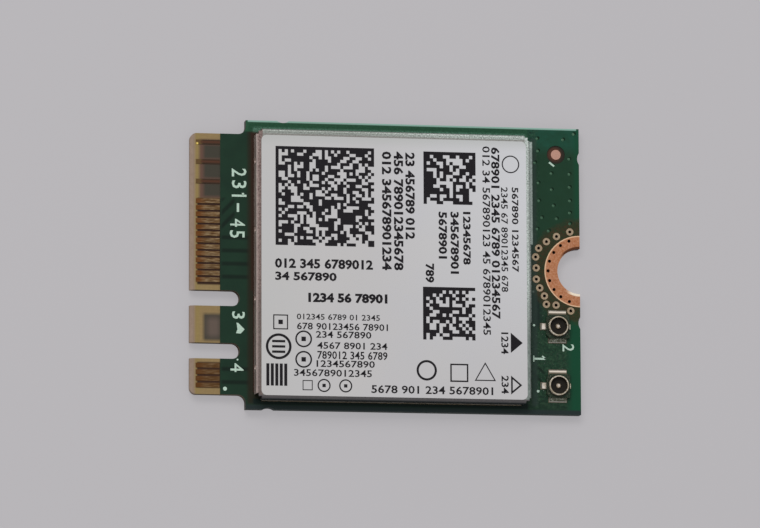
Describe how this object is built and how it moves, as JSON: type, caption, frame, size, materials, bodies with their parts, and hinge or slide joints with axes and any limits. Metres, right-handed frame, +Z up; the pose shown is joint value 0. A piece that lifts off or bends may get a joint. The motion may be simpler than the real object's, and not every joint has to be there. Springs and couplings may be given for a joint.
{
  "type": "wireless network card",
  "caption": "Small keyed edge-connector radio card: green board, folded shield under a blank-style label, two coaxial antenna ports and a half-round plated mounting notch.",
  "frame": {"origin": "middle of the 22 x 30 mm footprint, on the underside of the bottom mask film", "axes": "+X from the contact edge towards the antenna end, +Y across the card away from the antenna ports' end of the board, +Z up out of the component side"},
  "size_m": [0.03, 0.022, 0.0021],
  "materials": {
    "laminate": "bare glass-epoxy laminate, routed edges",
    "solder_mask": "green solder mask film, satin",
    "contact_plating": "thin gold over nickel on copper, worn",
    "ring_copper": "bare plated copper, satin",
    "via_copper": "bare plated copper collars",
    "tinned_land": "tinned copper land, dull",
    "solder": "reflowed solder, satin",
    "shield_sheet": "rolled nickel-silver sheet, dull",
    "label_film": "white polyester label film, satin",
    "chip_mould": "black epoxy moulding compound",
    "ceramic_dark": "fired dark ceramic",
    "ceramic_light": "fired light ceramic",
    "ceramic_tan": "fired tan capacitor ceramic",
    "ferrite": "sintered ferrite",
    "port_insulator": "black-brown liquid crystal polymer, moulded",
    "port_plating": "thin gold over nickel on bronze"
  },
  "bodies": {
    "root": {"pcb_laminate": "laminate", "solder_mask_top": "solder_mask", "solder_mask_bottom": "solder_mask", "edge_contacts_top": "contact_plating", "edge_contacts_bottom": "contact_plating", "mounting_ring": "ring_copper", "stitching_vias": "via_copper", "fiducial": "ring_copper", "test_pads": "contact_plating", "shield_land": "tinned_land", "component_lands": "tinned_land", "shield_solder": "solder", "shield_frame": "shield_sheet", "shield_lid": "shield_sheet", "label": "label_film", "radio_chip": "chip_mould", "radio_chip_terminals": "tinned_land", "crystal_base": "ceramic_dark", "crystal_lid": "shield_sheet", "front_end_modules": "chip_mould", "memory_chip": "chip_mould", "power_inductors": "ferrite", "inductor_terminals": "solder", "band_filters": "ceramic_light", "capacitor_bodies": "ceramic_tan", "capacitor_terminals": "solder", "resistor_bodies": "ceramic_dark", "resistor_terminals": "solder", "antenna_1_shell": "port_plating", "antenna_1_base": "port_insulator", "antenna_1_contact": "port_plating", "antenna_2_shell": "port_plating", "antenna_2_base": "port_insulator", "antenna_2_contact": "port_plating", "antenna_solder": "solder"}
  },
  "joints": []
}
